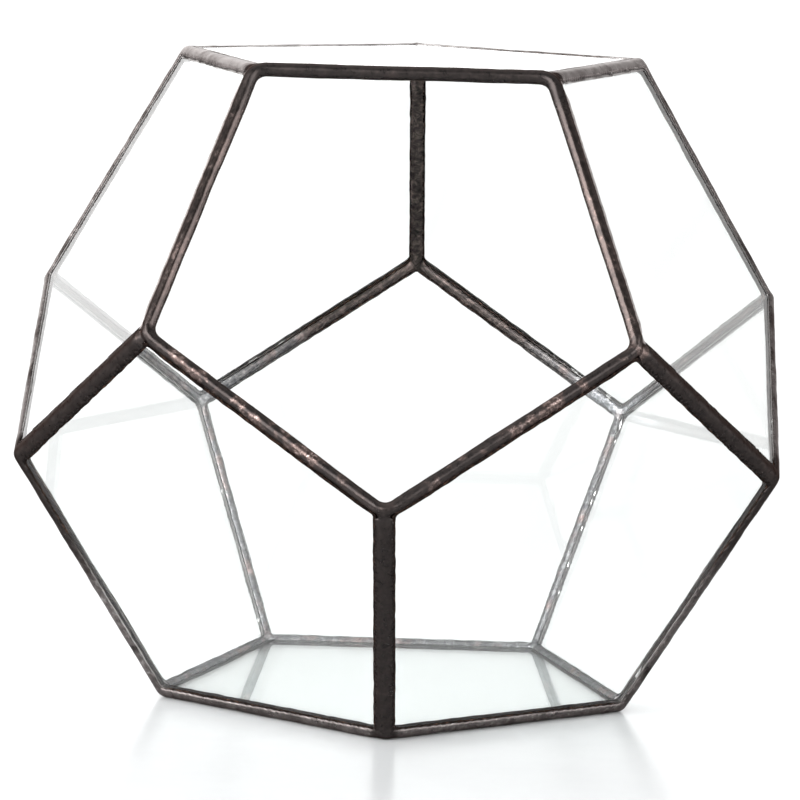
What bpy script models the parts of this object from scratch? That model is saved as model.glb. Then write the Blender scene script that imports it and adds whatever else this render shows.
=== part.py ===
"""Geometric glass terrarium, modelled in Blender 4.5 (metres, +Z up).

The body is a regular dodecahedron that stands on one of its faces. Eleven of its faces are flat
glass panes. The twelfth, the upper face at the front (-Y), is open and is the mouth. Each pane has
copper foil folded round its cut edge, and solder joins the foiled edges from outside and inside.
The mouth has a wire laid round it, inside its solder rim.

The origin lies on the table under the middle of the body.
"""

import math

import bmesh
import bpy
from mathutils import Matrix, Vector

MM = 0.001

# Driving dimensions in millimetres
HEIGHT = 150.0  # from the table to the top of the upper seams
BEAD_PROUD = 0.7  # how far the outside solder stands off the glass
GLASS = 2.0  # thickness of a pane
PANE_INSET = 2.2  # from the edge line of the body to the cut edge of a pane
FOIL = 0.15  # thickness of the foil
CLEAR = 0.15  # clearance from glass to foil, from foil to solder and from wire to solder
MITRE_GAP = 0.3  # clearance between two seams where they meet at a corner
COVER_OUTSIDE = 2.75  # from the edge line to where the outside solder ends on a pane
COVER_INSIDE = 3.6  # from the edge line to where the inside solder ends on a pane
FOIL_SHOWS = 0.05  # strip of foil left bare beyond the solder
RIDGE_RADIUS = 2.5  # rounding of the outside solder over the edge of the body
INSIDE_CROWN = 0.4  # how far the inside bead rises above its two feet
FOOT = 0.2  # thickness of the inside solder, and of the rim's, where it ends
WIRE_RADIUS = 0.6
RIM_WALL = 0.25  # thickness of the rim's solder over the foil
RIM_CENTRE = 1.35  # from the edge line to the centre of the rim's round

# Sides of the round outlines
ROUND_SIDES = 8

# Proportions of a regular dodecahedron with an edge of 1
PHI = (1 + math.sqrt(5)) / 2
FACE_DISTANCE = PHI**2 / (2 * math.sqrt(3 - PHI))
EDGE_DISTANCE = PHI**2 / 2
FACE_APOTHEM = 0.5 / math.tan(math.radians(36))
FACE_RADIUS = 0.5 / math.sin(math.radians(36))
HALF_DIHEDRAL = math.atan(PHI)
FACE_TILT = math.pi / 2 - HALF_DIHEDRAL
FACE_CORNER = math.radians(108)
NEIGHBOUR_COSINE = 1 / math.sqrt(5)

# Sizes that follow from them
EDGE = (HEIGHT - 2 * BEAD_PROUD) / (2 * FACE_DISTANCE)
APOTHEM = FACE_APOTHEM * EDGE
LAYER = FOIL + 2 * CLEAR
SLOT = PANE_INSET - LAYER
CENTRE = Vector((0, 0, HEIGHT / 2))

MOUTH = "mouth"
BASE_AND_TOP = {"base": -1, "top": 1}
LOWER_FACES = ["lower_front_right", "lower_right", "lower_back", "lower_left", "lower_front_left"]
UPPER_FACES = ["upper_back_left", "upper_left", MOUTH, "upper_right", "upper_back_right"]

GLASS_LOOK = {"colour": (0.93, 0.97, 0.96), "roughness": 0.03, "metallic": 0.0, "clear": 1.0}
FOIL_LOOK = {"colour": (0.43, 0.24, 0.17), "roughness": 0.4, "metallic": 1.0, "clear": 0.0}
SOLDER_LOOK = {"colour": (0.07, 0.06, 0.055), "roughness": 0.38, "metallic": 0.9, "clear": 0.0}
WIRE_LOOK = {"colour": (0.45, 0.43, 0.42), "roughness": 0.35, "metallic": 1.0, "clear": 0.0}


def clear_scene():
    """Removes what a new Blender file holds."""
    for item in list(bpy.data.objects):
        bpy.data.objects.remove(item, do_unlink=True)


def material(name, look):
    """A Principled material with the colour and shine of one kind of piece."""
    made = bpy.data.materials.new(name)
    made.use_nodes = True
    shader = made.node_tree.nodes["Principled BSDF"]
    shader.inputs["Base Color"].default_value = (*look["colour"], 1)
    shader.inputs["Roughness"].default_value = look["roughness"]
    shader.inputs["Metallic"].default_value = look["metallic"]
    shader.inputs["Transmission Weight"].default_value = look["clear"]
    return made


def place(name, mesh, frame, holder):
    """One object of the terrarium, put in its place by its frame."""
    item = bpy.data.objects.new(name, mesh)
    bpy.context.scene.collection.objects.link(item)
    item.parent = holder
    item.matrix_world = frame
    return item


def frame_of(x_axis, y_axis, z_axis, point):
    """The matrix of a local frame, given its axes and its origin in millimetres."""
    turn = Matrix((x_axis, y_axis, z_axis)).transposed()
    return Matrix.Translation(point * MM) @ turn.to_4x4()


def side_faces(names, first_angle, rise):
    """The five slanted faces of one half: normal and direction of the corner off the rings."""
    level = math.sqrt(1 - rise**2)
    for count, name in enumerate(names):
        angle = math.radians(first_angle + 72 * count)
        around = Vector((math.cos(angle), math.sin(angle), 0))
        normal = around * level + Vector((0, 0, rise))
        corner = Vector((0, 0, level)) - around * rise
        yield name, normal, corner if rise < 0 else -corner


def body_faces():
    """Name, outward normal and the direction of one corner for each of the twelve faces."""
    faces = {}
    for name, side in BASE_AND_TOP.items():
        faces[name] = (Vector((0, 0, side)), Vector((0, side, 0)))
    for name, normal, corner in side_faces(LOWER_FACES, -54, -NEIGHBOUR_COSINE):
        faces[name] = (normal, corner)
    for name, normal, corner in side_faces(UPPER_FACES, 126, NEIGHBOUR_COSINE):
        faces[name] = (normal, corner)
    return faces


def face_frame(normal, corner):
    """A face's frame: Z out of the body, Y to one of its corners, origin in the glass's outer face."""
    return frame_of(corner.cross(normal), corner, normal, CENTRE + normal * FACE_DISTANCE * EDGE)


def edge_frame(normal, other_normal):
    """An edge's frame: X along it, Z out of the body, Y towards the face with the first normal."""
    out = (normal + other_normal).normalized()
    side = (normal - other_normal).normalized()
    return frame_of(side.cross(out), side, out, CENTRE + out * EDGE_DISTANCE * EDGE)


def neighbours(normal, other_normal):
    """True if two faces share an edge."""
    return abs(normal.dot(other_normal) - NEIGHBOUR_COSINE) < 0.01


def across(inset, depth):
    """(y, z) in an edge's frame of a point given by how far in it lies along the face and below it."""
    y = inset * math.sin(HALF_DIHEDRAL) - depth * math.cos(HALF_DIHEDRAL)
    z = -inset * math.cos(HALF_DIHEDRAL) - depth * math.sin(HALF_DIHEDRAL)
    return y, z


def below_other_face(y, z):
    """(inset, depth) of a point of an edge's frame, seen from the face on its other side."""
    inset = -y * math.sin(HALF_DIHEDRAL) - z * math.cos(HALF_DIHEDRAL)
    depth = y * math.cos(HALF_DIHEDRAL) - z * math.sin(HALF_DIHEDRAL)
    return inset, depth


def face_mesh(name, outline, closed_ring, look):
    """A pentagonal piece of one face: each (inset, depth) of the outline runs round the face."""
    bm = bmesh.new()
    rings = []
    for inset, depth in outline:
        radius = (APOTHEM - inset) / APOTHEM * FACE_RADIUS * EDGE
        ring = []
        for count in range(5):
            angle = math.radians(90 + 72 * count)
            point = Vector((radius * math.cos(angle), radius * math.sin(angle), -depth))
            ring.append(bm.verts.new(point * MM))
        rings.append(ring)
    following = rings[1:] + rings[:1] if closed_ring else rings[1:]
    for ring, beyond in zip(rings, following):
        for count in range(5):
            after = (count + 1) % 5
            bm.faces.new((ring[count], ring[after], beyond[after], beyond[count]))
    if not closed_ring:
        bm.faces.new(rings[0])
        bm.faces.new(rings[-1])
    return finish_mesh(bm, name, look)


def pane_mesh(look):
    """A pane: a pentagon of glass with square edges."""
    return face_mesh("glass_pane", [(PANE_INSET, 0), (PANE_INSET, GLASS)], False, look)


def foil_mesh(look):
    """The foil round a pane: a channel folded over its edge, longer on the inside."""
    near = CLEAR
    far = CLEAR + FOIL
    outline = [
        (PANE_INSET - far, -far),
        (COVER_OUTSIDE + FOIL_SHOWS, -far),
        (COVER_OUTSIDE + FOIL_SHOWS, -near),
        (PANE_INSET - near, -near),
        (PANE_INSET - near, GLASS + near),
        (COVER_INSIDE + FOIL_SHOWS, GLASS + near),
        (COVER_INSIDE + FOIL_SHOWS, GLASS + far),
        (PANE_INSET - far, GLASS + far),
    ]
    return face_mesh("copper_foil", outline, True, look)


def wire_mesh(name, radius, look):
    """A ring of wire round the mouth, against the middle of the foiled edges."""
    y, z = across(SLOT - WIRE_RADIUS, GLASS / 2)
    inset, depth = below_other_face(y, z)
    outline = []
    for count in range(ROUND_SIDES):
        angle = 2 * math.pi * count / ROUND_SIDES
        outline.append((inset + radius * math.cos(angle), depth + radius * math.sin(angle)))
    return face_mesh(name, outline, True, look)


def seam_half_outline():
    """The (y, z) outline of a seam on one side, from its ridge outside to its ridge inside."""
    step = FACE_TILT / 3
    radius = RIDGE_RADIUS / math.cos(step)
    middle = (RIDGE_RADIUS - BEAD_PROUD) / math.sin(HALF_DIHEDRAL)
    outline = []
    for count in range(2):
        angle = 2 * step * count
        outline.append((radius * math.sin(angle), radius * math.cos(angle) - middle))
    inner_foot = GLASS + LAYER + FOOT
    outline.append(across(COVER_OUTSIDE, -BEAD_PROUD))
    outline.append(across(COVER_OUTSIDE, -LAYER))
    outline.append(across(SLOT, -LAYER))
    outline.append(across(SLOT, GLASS + LAYER))
    outline.append(across(COVER_INSIDE, GLASS + LAYER))
    outline.append(across(COVER_INSIDE, inner_foot))
    foot_y, foot_z = outline[-1]
    outline.append((foot_y / 2, foot_z - INSIDE_CROWN * 0.75))
    outline.append((0, foot_z - INSIDE_CROWN))
    return outline


def seam_outline():
    """The closed outline of a seam between two panes."""
    half = seam_half_outline()
    mirrored = [(-y, z) for y, z in reversed(half[1:-1])]
    return half + mirrored


def rim_outline():
    """The closed outline of the rim on one pane's free edge, with the slot for the foiled edge."""
    middle = GLASS / 2
    radius = middle + LAYER + RIM_WALL
    points = [(SLOT, -LAYER), (COVER_OUTSIDE, -LAYER), (COVER_OUTSIDE, -LAYER - FOOT)]
    for count in range(ROUND_SIDES + 1):
        angle = math.pi * count / ROUND_SIDES
        points.append((RIM_CENTRE - radius * math.sin(angle), middle - radius * math.cos(angle)))
    points.append((COVER_INSIDE, GLASS + LAYER + FOOT))
    points.append((COVER_INSIDE, GLASS + LAYER))
    points.append((SLOT, GLASS + LAYER))
    return [across(inset, depth) for inset, depth in points]


def cut_off(bm, point, normal):
    """Cuts away what lies behind a plane, and closes the cut."""
    geometry = bm.verts[:] + bm.edges[:] + bm.faces[:]
    cut = bmesh.ops.bisect_plane(
        bm, geom=geometry, dist=1e-7, plane_co=point, plane_no=normal, clear_inner=True
    )
    rim = [item for item in cut["geom_cut"] if isinstance(item, bmesh.types.BMEdge)]
    bmesh.ops.holes_fill(bm, edges=rim, sides=0)


def mitre(bm):
    """Cuts both ends of a bar along an edge, halfway to each of the edges that it meets there."""
    for end in (-1, 1):
        corner = Vector((end * EDGE / 2, 0, 0))
        along = Vector((-end, 0, 0))
        for side in (-1, 1):
            into_face = Vector((0, side * math.sin(HALF_DIHEDRAL), -math.cos(HALF_DIHEDRAL)))
            next_edge = along * math.cos(FACE_CORNER) + into_face * math.sin(FACE_CORNER)
            normal = (along - next_edge).normalized()
            cut_off(bm, (corner + normal * MITRE_GAP / 2) * MM, normal)


def bar_mesh(name, outline, look):
    """A mitred bar along one edge of the body with the given (y, z) outline."""
    bm = bmesh.new()
    ends = []
    for x in (-EDGE, EDGE):
        ends.append([bm.verts.new(Vector((x, y, z)) * MM) for y, z in outline])
    bm.faces.new(ends[0])
    bm.faces.new(ends[1])
    for count in range(len(outline)):
        after = (count + 1) % len(outline)
        bm.faces.new((ends[0][count], ends[0][after], ends[1][after], ends[1][count]))
    mitre(bm)
    return finish_mesh(bm, name, look)


def finish_mesh(bm, name, look):
    """Turns the faces outwards, rounds the shading below sharp edges and adds the material."""
    bmesh.ops.recalc_face_normals(bm, faces=bm.faces[:])
    mesh = bpy.data.meshes.new(name)
    bm.to_mesh(mesh)
    bm.free()
    mesh.shade_smooth()
    mesh.set_sharp_from_angle(angle=math.radians(30))
    mesh.materials.append(look)
    return mesh


def leave_room(item, cutter):
    """Cuts the way of the wire out of a solder piece."""
    cut = item.modifiers.new("room_for_wire", "BOOLEAN")
    cut.operation = "DIFFERENCE"
    cut.solver = "EXACT"
    cut.object = cutter


def build_panes(faces, holder):
    """The eleven panes and the foil round each."""
    pane = pane_mesh(material("clear_glass", GLASS_LOOK))
    foil = foil_mesh(material("copper_foil", FOIL_LOOK))
    for name, (normal, corner) in faces.items():
        if name != MOUTH:
            place("pane_" + name, pane, face_frame(normal, corner), holder)
            place("foil_" + name, foil, face_frame(normal, corner), holder)


def build_wire(faces, holder):
    """The wire round the mouth. Returns the fatter ring that makes room for it."""
    look = material("tinned_wire", WIRE_LOOK)
    frame = face_frame(*faces[MOUTH])
    place("mouth_wire", wire_mesh("mouth_wire", WIRE_RADIUS, look), frame, holder)
    room = place("wire_room", wire_mesh("wire_room", WIRE_RADIUS + CLEAR, look), frame, holder)
    room.hide_render = True
    room.display_type = "WIRE"
    return room


def build_solder(faces, wire_room, holder):
    """A seam along each edge between two panes, and a rim along each edge of the mouth."""
    look = material("solder", SOLDER_LOOK)
    seam = bar_mesh("solder_seam", seam_outline(), look)
    rim = bar_mesh("solder_rim", rim_outline(), look)
    mouth_normal = faces[MOUTH][0]
    panes = [name for name in faces if name != MOUTH]
    for count, name in enumerate(panes):
        normal = faces[name][0]
        at_mouth = neighbours(normal, mouth_normal)
        if at_mouth:
            edge = place("rim_" + name, rim, edge_frame(normal, mouth_normal), holder)
            leave_room(edge, wire_room)
        for other in panes[count + 1 :]:
            other_normal = faces[other][0]
            if neighbours(normal, other_normal):
                frame = edge_frame(normal, other_normal)
                edge = place("seam_" + name + "_" + other, seam, frame, holder)
                if at_mouth and neighbours(other_normal, mouth_normal):
                    leave_room(edge, wire_room)


def main():
    """Builds the whole terrarium."""
    clear_scene()
    holder = bpy.data.objects.new("terrarium", None)
    bpy.context.scene.collection.objects.link(holder)
    faces = body_faces()
    build_panes(faces, holder)
    wire_room = build_wire(faces, holder)
    build_solder(faces, wire_room, holder)


main()
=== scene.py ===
"""Looks of the geometric glass terrarium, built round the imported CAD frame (metres, +Z up).

The panes stay as they are in the frame and get a glass material. The solder is shown as it is on
the real thing: one hand-run network over the outside with the round rim of the mouth, and one over
the inside. The foil shows as a ragged dark strip beside it.

In names, "depth" is how far something lies below a face, "inset" how far in from the face's edge
lines, both in millimetres. Solder and foil are worked out from the body's centre.
"""

import math
from itertools import combinations

import bmesh
import bpy
import numpy as np
from mathutils import Matrix, Vector


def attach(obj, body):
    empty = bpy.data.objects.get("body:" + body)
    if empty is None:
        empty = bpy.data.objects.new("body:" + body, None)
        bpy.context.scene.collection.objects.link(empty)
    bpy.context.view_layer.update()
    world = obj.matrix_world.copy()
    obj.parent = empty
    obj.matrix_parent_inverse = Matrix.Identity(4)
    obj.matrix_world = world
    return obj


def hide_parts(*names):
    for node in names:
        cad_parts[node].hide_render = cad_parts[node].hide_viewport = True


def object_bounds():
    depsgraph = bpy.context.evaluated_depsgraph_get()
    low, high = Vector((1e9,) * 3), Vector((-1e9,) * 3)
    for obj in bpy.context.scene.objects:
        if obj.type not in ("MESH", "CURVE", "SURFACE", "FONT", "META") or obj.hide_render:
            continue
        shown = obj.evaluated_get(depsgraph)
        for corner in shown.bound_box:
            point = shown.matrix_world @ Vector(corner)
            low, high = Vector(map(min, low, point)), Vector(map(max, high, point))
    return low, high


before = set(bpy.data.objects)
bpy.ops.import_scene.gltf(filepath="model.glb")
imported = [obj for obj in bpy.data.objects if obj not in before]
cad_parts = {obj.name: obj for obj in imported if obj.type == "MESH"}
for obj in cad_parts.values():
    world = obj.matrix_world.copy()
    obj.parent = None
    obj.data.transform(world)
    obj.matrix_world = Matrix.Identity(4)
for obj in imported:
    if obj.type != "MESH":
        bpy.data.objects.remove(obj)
cad_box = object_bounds()

MM = 0.001

# Sizes of the CAD frame, in millimetres
HEIGHT = 150.0
BEAD_PROUD = 0.7
GLASS = 2.0

# Proportions of a regular dodecahedron with an edge of 1
PHI = (1 + math.sqrt(5)) / 2
FACE_DISTANCE = PHI**2 / (2 * math.sqrt(3 - PHI))
EDGE_DISTANCE = PHI**2 / 2
CORNER_DISTANCE = PHI * math.sqrt(3) / 2
FACE_APOTHEM = 0.5 / math.tan(math.radians(36))
NEIGHBOUR_COSINE = 1 / math.sqrt(5)
NEIGHBOUR_SINE = math.sqrt(1 - NEIGHBOUR_COSINE**2)

# Sizes that follow from them
EDGE = (HEIGHT - 2 * BEAD_PROUD) / (2 * FACE_DISTANCE)
APOTHEM = FACE_APOTHEM * EDGE
FACE_LEVEL = FACE_DISTANCE * EDGE
EDGE_LEVEL = EDGE_DISTANCE * EDGE
CENTRE = np.array([0, 0, HEIGHT / 2])

# The grid that the solder is modelled on
CELL = 0.45
CELLS_BELOW = 2.37  # from the lowest grid point to the frame's box
CELLS_SPARE = 6
FAR = 3.0  # distance given to the points that no bead reaches
NOTHING = 1e-5  # field where no bead has been laid
MOST_TRIANGLES = 190000  # in one piece of solder
FIELD_POWERS = (-60, 30)  # limits of the field, as powers of e

# The solder's own sizes in millimetres
PROUD = 0.52  # how far the outside solder stands off the glass
PROUD_BELOW = 0.68  # the same under the base, where the terrarium stands on it
PROUD_ABOVE = 0.24  # the same on the top, where it is flattest
WIDTH = 2.68  # from the edge line to where the outside solder ends on a pane
WIDTH_SIDE = 2.85  # the same along the two seams that run out from the mouth's lower corners
WIDTH_LOW = 2.3  # the same along the base and the lower side seams
SHOULDER = 0.42  # rounding where the solder ends
RIDGE_BLEND = 0.5  # rounding of the solder over the edges of the body
DIP = 0.75  # how far the seams dip where they meet the rim
DIP_REACH = 3.7  # from the mouth's plane to where the dip starts
DIP_LENGTH = 1.8  # from there to where it is full
SEAM_END = 0.1  # from the mouth's plane to where the seams end
SEAM_END_UNEVEN = 0.05
SEAM_END_ROUND = 0.25
NO_FACE = 99  # depth given to a face that doesn't count
INSIDE_WIDTH = 3.4  # from the edge line to where the inside solder ends, on the upright back seam
INSIDE_WIDTH_BACK = 2.85  # the same along the two seams that run down from it
INSIDE_WIDTH_REST = 2.55  # the same along all other seams
INSIDE_WIDTH_FRONT = 2.35  # the same along the two front seams of the base
INSIDE_SHOULDER = 0.35  # rounding where the inside solder ends
INSIDE_RADIUS = 3.9  # the inside solder's slight crown where it is widest
INSIDE_FLATTER = 1.2  # how much of its width the crown loses where it is narrower
INSIDE_DEPTH = 0.62  # from the edge line to the middle of that round
ROD_RADIUS = 1.5  # half thickness of the rim
ROD_THICKER = 0.13  # how much that grows towards the top
ROD_GROWS_FROM = 0.75 * FACE_LEVEL  # height above the body's centre where it starts to
ROD_GROWS_OVER = 0.15 * FACE_LEVEL  # and over how much height
ROD_RELIEF = 0.8  # how uneven the rim is beside the seams
ROD_INSET = 0.29  # from the mouth's edge line to the middle of the rim
ROD_DEPTH = 1.65  # from the mouth's plane to the middle of the rim
ROD_BEND = 4.1  # radius of the rim's bend at a corner of the mouth
RIM_ROOM = 0.4  # from the middle line of the rim to where the outside seams end
RIM_ROOM_INSIDE = 0.3  # and to where the inside seams end
BLEND = 0.3  # how widely touching beads flow together
SEAM_OVERRUN = 1.5  # how far a seam runs on past a corner
RIPPLE_START = 3.0  # from a corner to where the ripples are full
SEAM_REACH = 4.6  # how far round a seam or the rim the field is worked out
INSIDE_REACH = 1.4
RIM_REACH = 5.2
DAB_REACH = 1.6
DAB_SIZES = (0.6, 0.9)  # radius of a dab of solder
DAB_SHIFTS = (0.5, 1.0)  # how far dabs lie off a corner, as parts of their spread
DABS = 3  # dabs at each corner
SMEAR = 0.7  # how much wider the inside solder is smeared at one lower back corner
SMEAR_REACH = 15.0  # from that corner to where the smear ends
FOIL_SEAT = 0.12  # how far the solder sinks into the foil on a pane
FOIL_LINE = 1.9  # from the edge line to the foil on a pane's cut edge
BOX_MARGIN = 0.03  # how far the solder stays inside the frame's box
RAGGED_EDGE = 0.07  # unevenness of the line where the solder ends
EDGE_WANDER = 0.1  # how far that line and the beads waver
SWELL_HEIGHT = 0.055  # height of the solder's wide, middling and fine bumps
LUMP_HEIGHT = 0.035
GRAIN_HEIGHT = 0.01
RIPPLE_HEIGHT = 0.018  # height of the ridges that the iron leaves
RIPPLE_LENGTHS = (3.0, 5.5)  # from one ridge to the next

MOUTH = "mouth"
LOWER_FACES = ["lower_front_right", "lower_right", "lower_back", "lower_left", "lower_front_left"]
UPPER_FACES = ["upper_back_left", "upper_left", MOUTH, "upper_right", "upper_back_right"]
UPPER_SIDES = ("upper_left", "upper_right")


def unit(vector):
    """A vector of length 1."""
    return np.asarray(vector, float) / np.linalg.norm(vector)


def body_faces():
    """Outward normal and the direction of one corner for each of the twelve faces."""
    faces = {
        "base": (np.array([0, 0, -1.0]), np.array([0, -1.0, 0])),
        "top": (np.array([0, 0, 1.0]), np.array([0, 1.0, 0])),
    }
    for names, first_angle, rise in ((LOWER_FACES, -54, -1), (UPPER_FACES, 126, 1)):
        for count, name in enumerate(names):
            angle = math.radians(first_angle + 72 * count)
            around = np.array([math.cos(angle), math.sin(angle), 0])
            up = np.array([0, 0, 1.0])
            normal = around * NEIGHBOUR_SINE + up * rise * NEIGHBOUR_COSINE
            corner = around * NEIGHBOUR_COSINE * -rise + up * NEIGHBOUR_SINE
            faces[name] = (normal, -rise * corner)
    return faces


FACES = body_faces()
NAMES = list(FACES)
NORMALS = np.array([FACES[name][0] for name in NAMES])
MOUTH_INDEX = NAMES.index(MOUTH)
MOUTH_NORMAL = NORMALS[MOUTH_INDEX]


def corner_at(*names):
    """The corner of the body where three faces meet, from the body's centre."""
    return unit(sum(FACES[name][0] for name in names)) * CORNER_DISTANCE * EDGE


def body_corners():
    """Every corner of the body, by the set of its three faces."""
    corners = {}
    for names in combinations(NAMES, 3):
        pairs = combinations(names, 2)
        if all(FACES[a][0] @ FACES[b][0] > 0 for a, b in pairs):
            corners[frozenset(names)] = corner_at(*names)
    return corners


def body_edges(corners):
    """Every edge as its two faces and its two corners."""
    edges = []
    for a, b in combinations(NAMES, 2):
        ends = [faces for faces in corners if a in faces and b in faces]
        if len(ends) == 2:
            edges.append((a, b, ends[0], ends[1]))
    return edges


CORNERS = body_corners()
EDGES = body_edges(CORNERS)
SMEARED_CORNER = CORNERS[frozenset({"lower_back", "lower_right", "upper_back_right"})]


def random_waves(seed, wavelength, count=12):
    """Plane waves that sum to a smooth random field with bumps of about one size."""
    draw = np.random.RandomState(seed)
    directions = draw.normal(size=(count, 3))
    directions /= np.linalg.norm(directions, axis=1)[:, None]
    numbers = 2 * math.pi / (wavelength * draw.uniform(0.75, 1.3, count))
    return directions * numbers[:, None], draw.uniform(0, 2 * math.pi, count)


def wave_sum(points, waves):
    """The random field of some plane waves at points, mostly between -1 and 1."""
    numbers, phases = waves
    return np.sin(points @ numbers.T + phases).sum(axis=1) / math.sqrt(2 * len(phases))


# Random fields, by their seed and the length of their waves in millimetres
WANDER = [random_waves(seed, 26) for seed in (1, 2, 3)]
SWELL = random_waves(4, 11)
LUMPS = random_waves(5, 4.2)
GRAIN = random_waves(6, 2.0, 16)
PATCHES = random_waves(7, 17)
RAGGED = random_waves(8, 5)
NICKS = random_waves(9, 1.8)


def face_depths(points):
    """How far points lie below the plane of each face."""
    return FACE_LEVEL - points @ NORMALS.T


def inset_on(depths, index):
    """How far in from a face's edge lines points lie, measured along that face."""
    others = np.delete(depths, index, axis=1)
    lean = NEIGHBOUR_COSINE * depths[:, index]
    return (others.min(axis=1) - lean) / NEIGHBOUR_SINE


def foiled_pane(depths, index):
    """Distance to a foiled pane, negative inside it."""
    depth = depths[:, index]
    inset = inset_on(depths, index)
    return np.maximum(FOIL_LINE - inset, np.maximum(-FOIL_SEAT - depth, depth - GLASS - FOIL_SEAT))


def outside_mouth(depths):
    """Distance outside the rounded pentagon that the middle of the rim follows."""
    lean = NEIGHBOUR_COSINE * depths[:, MOUTH_INDEX]
    others = np.delete(depths, MOUTH_INDEX, axis=1)
    insets = (np.sort(others, axis=1)[:, :2] - lean[:, None]) / NEIGHBOUR_SINE
    near, far = (ROD_INSET + ROD_BEND - insets).T
    turn = math.cos(math.radians(72))
    square = np.maximum(near**2 + far**2 - 2 * near * far * turn, 0)
    at_corner = np.sqrt(square) / math.sin(math.radians(72))
    return np.where(far > near * turn, at_corner, near) - ROD_BEND


def smooth_least(distances, blend):
    """The least of some distances, running smoothly from one to the next."""
    least = distances.min(axis=0)
    return least - blend * np.log(np.exp((least - distances) / blend).sum(axis=0))


def rounded_both(first, second, radius):
    """Distance to what lies in both of two bodies, with the edge between them rounded."""
    u = first + radius
    v = second + radius
    return np.minimum(np.maximum(u, v), 0) + np.hypot(np.maximum(u, 0), np.maximum(v, 0)) - radius


def segment_distance(points, start, end):
    """Distance from points to a segment."""
    along = end - start
    part = np.clip(((points - start) @ along) / (along @ along), 0, 1)
    gap = points - start - part[..., None] * along
    return np.sqrt((gap**2).sum(axis=-1))


def surface_relief(points):
    """Unevenness of hand-run solder in millimetres."""
    return (
        SWELL_HEIGHT * wave_sum(points, SWELL)
        + LUMP_HEIGHT * wave_sum(points, LUMPS)
        + GRAIN_HEIGHT * wave_sum(points, GRAIN)
    )


def wander(points, amount):
    """Points shifted a little, so that a bead laid through them wavers."""
    return points + amount * np.stack([wave_sum(points, waves) for waves in WANDER], axis=-1)


def ripples(points, start, end, seed):
    """Slanting ridges that the iron leaves along some stretches of a bead."""
    draw = np.random.RandomState(seed)
    along = unit(end - start)
    out = unit(start + end)
    side = np.cross(along, out)
    lean = draw.uniform(-1.2, 1.2)
    place = (points - start) @ along + lean * ((points - start) @ side)
    unevenness = 6 * wave_sum(points, SWELL)
    wave = np.sin(2 * math.pi * place / draw.uniform(*RIPPLE_LENGTHS) + unevenness)
    patch = np.clip(wave_sum(points, PATCHES) * 1.5 - 0.2, 0, 1)
    return RIPPLE_HEIGHT * patch * wave


def field_of(distance):
    """What a bead at a distance adds to the field."""
    return np.exp(np.clip(-distance / BLEND, *FIELD_POWERS))


class Solder:
    """A body of solder as a field on a grid. Beads are laid into it one by one."""

    def __init__(self):
        low = np.array([cad_box[0][axis] for axis in range(3)]) / MM - CENTRE
        high = np.array([cad_box[1][axis] for axis in range(3)]) / MM - CENTRE
        self.low = low - CELLS_BELOW * CELL
        self.box = (low, high)
        self.count = np.ceil((high - low) / CELL).astype(int) + CELLS_SPARE
        self.axes = [self.low[axis] + CELL * np.arange(self.count[axis]) for axis in range(3)]
        self.sum = np.zeros(self.count, np.float32)

    def near(self, start, end, reach):
        """The part of the grid round a segment, and its points within reach of the segment."""
        lowest = np.minimum(start, end) - reach - self.low
        highest = np.maximum(start, end) + reach - self.low
        first = np.maximum(np.floor(lowest / CELL).astype(int), 0)
        last = np.minimum(np.ceil(highest / CELL).astype(int) + 1, self.count)
        block = tuple(slice(a, b) for a, b in zip(first, last))
        x, y, z = np.meshgrid(*[axis[part] for axis, part in zip(self.axes, block)], indexing="ij")
        points = np.stack([x, y, z], axis=-1)
        mask = segment_distance(points, start, end) < reach
        return block, mask, points[mask]

    def lay(self, block, mask, distance):
        """Lets a bead flow into what is there."""
        self.sum[block][mask] += field_of(distance)

    def laid(self):
        """Where the field has been laid: indexes, points and distances."""
        index = np.nonzero(self.sum > NOTHING)
        points = np.stack([axis[part] for axis, part in zip(self.axes, index)], axis=-1)
        return index, points, -BLEND * np.log(self.sum[index])

    def replace(self, index, distance):
        """Sets the field anew where it has been laid."""
        self.sum[index] = field_of(distance)

    def close(self):
        """Closes the field: room for the foiled panes, and the CAD frame's box."""
        field = np.full(self.count, FAR, np.float32)
        index, points, distance = self.laid()
        depths = face_depths(points)
        for name in NAMES:
            if name != MOUTH:
                distance = np.maximum(distance, -foiled_pane(depths, NAMES.index(name)))
        low, high = self.box
        beyond = np.maximum(low + BOX_MARGIN - points, points - high + BOX_MARGIN)
        field[index] = np.maximum(distance, beyond.max(axis=1))
        return field


def seams_between_panes():
    """The edges that have a pane on both sides."""
    return [edge for edge in EDGES if MOUTH not in edge[:2]]


def outside_width(first, second):
    """Width of the outside solder on each of two faces that meet."""
    from_mouth = ({"upper_left", "lower_front_left"}, {"upper_right", "lower_front_right"})
    if {first, second} in from_mouth:
        return WIDTH_SIDE
    front = {first, second} == {"lower_front_left", "lower_front_right"}
    low = "base" in (first, second) or (first in LOWER_FACES and second in LOWER_FACES)
    return WIDTH_LOW if low and not front else WIDTH


def inside_width(first, second):
    """Width of the inside solder on each of two faces that meet."""
    upper_backs = {"upper_back_left", "upper_back_right"}
    if {first, second} == upper_backs:
        return INSIDE_WIDTH
    if "lower_back" in (first, second) and upper_backs & {first, second}:
        return INSIDE_WIDTH_BACK
    lower_fronts = {"lower_front_left", "lower_front_right"}
    if "base" in (first, second) and lower_fronts & {first, second}:
        return INSIDE_WIDTH_FRONT
    return INSIDE_WIDTH_REST


def seam_width(edge, depths, points):
    """How far in from an edge points lie, on whichever of its two faces they are nearer."""
    first = depths[:, NAMES.index(edge[0])]
    second = depths[:, NAMES.index(edge[1])]
    own = np.maximum(first - NEIGHBOUR_COSINE * second, second - NEIGHBOUR_COSINE * first)
    uneven = RAGGED_EDGE * wave_sum(points, RAGGED)
    return own / NEIGHBOUR_SINE - uneven - EDGE_WANDER * wave_sum(points, WANDER[0])


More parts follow.
